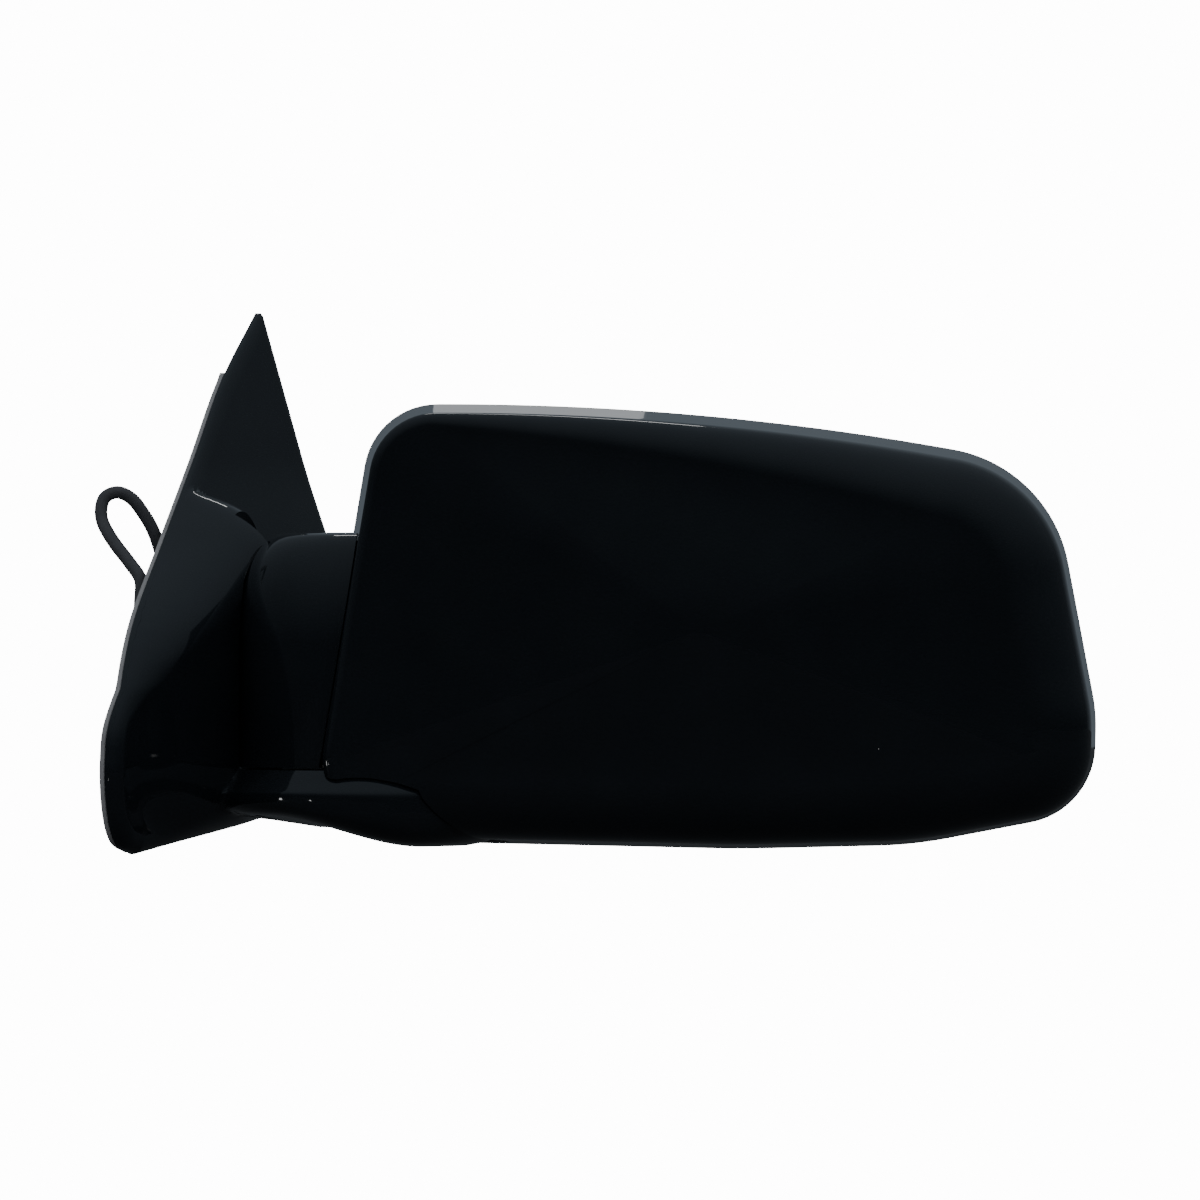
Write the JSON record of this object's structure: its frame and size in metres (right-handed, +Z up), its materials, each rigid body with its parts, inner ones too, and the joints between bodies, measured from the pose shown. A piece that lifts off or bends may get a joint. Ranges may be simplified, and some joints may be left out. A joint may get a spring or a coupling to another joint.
{
  "type": "car side mirror",
  "caption": "Power door mirror for a truck: gloss black head on a folding pivot, sail-shaped base with gasket, powered glass and wire harness.",
  "frame": {"origin": "on the flat steel face of the base that bolts to the door, near the middle of the lower base", "axes": "+X outboard along the mirror head, its longest extent; -Y towards the front of the vehicle, the side of the painted shell; +Z up. The door face is turned 27 degrees about Z from the head."},
  "size_m": [0.3515, 0.1909, 0.1885],
  "materials": {
    "gloss_black_shell": "high-gloss moulded black with a faint blue cast",
    "matte_black_plastic": "fine moulded grain",
    "gasket_rubber": "matt grey-black foam rubber",
    "grey_plastic": "glass-filled natural grey",
    "white_gear_plastic": "natural acetal",
    "zinc_steel": "bright zinc plate",
    "spring_steel": "dark oiled spring steel",
    "brass": "machined",
    "cable_sleeve": "smooth black sleeve",
    "mirror_coating": "polished reflective glass",
    "heater_foil": "printed foil"
  },
  "bodies": {
    "base": {"base_housing": "gloss_black_shell", "door_gasket": "gasket_rubber", "base_reinforcement": "zinc_steel", "stud_front": "zinc_steel", "stud_rear": "zinc_steel", "stud_upper": "zinc_steel", "cable_grommet": "gasket_rubber", "foot_cover": "matte_black_plastic", "foot_cover_screw_front": "zinc_steel", "foot_cover_screw_rear": "zinc_steel", "pivot_tube": "zinc_steel", "detent_ring_lower": "spring_steel", "pivot_spring": "spring_steel", "spring_washer": "zinc_steel", "retaining_nut": "zinc_steel", "pivot_lead": "cable_sleeve", "harness_cord": "cable_sleeve", "cable_tie": "matte_black_plastic", "harness_connector": "grey_plastic"},
    "head": {"housing_shell": "gloss_black_shell", "neck_shroud": "gloss_black_shell", "bezel_ring": "matte_black_plastic", "head_frame": "grey_plastic", "detent_ring_upper": "spring_steel", "actuator_case": "matte_black_plastic", "actuator_cover": "matte_black_plastic", "tilt_motor": "zinc_steel", "pan_motor": "zinc_steel", "head_lead": "cable_sleeve", "frame_screw_1": "zinc_steel", "frame_screw_2": "zinc_steel", "frame_screw_3": "zinc_steel", "frame_screw_4": "zinc_steel", "actuator_screw_1": "zinc_steel", "actuator_screw_2": "zinc_steel", "actuator_screw_3": "zinc_steel", "actuator_screw_4": "zinc_steel"},
    "glass": {"glass_carrier": "matte_black_plastic", "heater_pad": "heater_foil", "mirror_glass": "mirror_coating"},
    "gimbal": {"gimbal_cross": "grey_plastic"},
    "tilt_push": {"tilt_plunger": "white_gear_plastic"},
    "tilt_nut": {"tilt_gear_nut": "white_gear_plastic"},
    "tilt_screw": {"tilt_worm": "brass"},
    "pan_push": {"pan_plunger": "white_gear_plastic"},
    "pan_nut": {"pan_gear_nut": "white_gear_plastic"},
    "pan_screw": {"pan_worm": "brass"}
  },
  "joints": [
    {"name": "head_fold", "type": "hinge", "parent": "base", "child": "head", "pos_m": [0.056, 0, 0], "axis": [0, 0, 1], "range_deg": [-20, 55]},
    {"name": "glass_tilt", "type": "hinge", "parent": "head", "child": "gimbal", "pos_m": [0.18, 0.016, 0.0227], "axis": [1, 0, 0], "range_deg": [-7, 7]},
    {"name": "glass_pan", "type": "hinge", "parent": "gimbal", "child": "glass", "pos_m": [0.18, 0.016, 0.0227], "axis": [0, 0, 1], "range_deg": [-5.5, 5.5]},
    {"name": "tilt_plunger_travel", "type": "slide", "parent": "head", "child": "tilt_push", "axis": [0, 1, 0], "range_m": [-0.0034, 0.0034]},
    {"name": "tilt_nut_spin", "type": "hinge", "parent": "head", "child": "tilt_nut", "pos_m": [0.18, 0, 0.0487], "axis": [0, 1, 0], "range_deg": [-295, 295]},
    {"name": "tilt_worm_spin", "type": "hinge", "parent": "head", "child": "tilt_screw", "pos_m": [0.169, -0.002, 0.0227], "axis": [0, 0, 1], "range_deg": [-5800, 5800]},
    {"name": "pan_plunger_travel", "type": "slide", "parent": "head", "child": "pan_push", "axis": [0, 1, 0], "range_m": [-0.0034, 0.0034]},
    {"name": "pan_nut_spin", "type": "hinge", "parent": "head", "child": "pan_nut", "pos_m": [0.206, 0, 0.0227], "axis": [0, 1, 0], "range_deg": [-295, 295]},
    {"name": "pan_worm_spin", "type": "hinge", "parent": "head", "child": "pan_screw", "pos_m": [0.18, -0.002, 0.0117], "axis": [1, 0, 0], "range_deg": [-5800, 5800]}
  ],
  "couplings": [
    {"joint": "tilt_plunger_travel", "follows": "glass_tilt", "m_per_rad": -0.026},
    {"joint": "tilt_nut_spin", "follows": "glass_tilt", "ratio": 40.841},
    {"joint": "tilt_worm_spin", "follows": "glass_tilt", "ratio": -816.81},
    {"joint": "pan_plunger_travel", "follows": "glass_pan", "m_per_rad": 0.026},
    {"joint": "pan_nut_spin", "follows": "glass_pan", "ratio": -40.841},
    {"joint": "pan_worm_spin", "follows": "glass_pan", "ratio": -816.81}
  ]
}
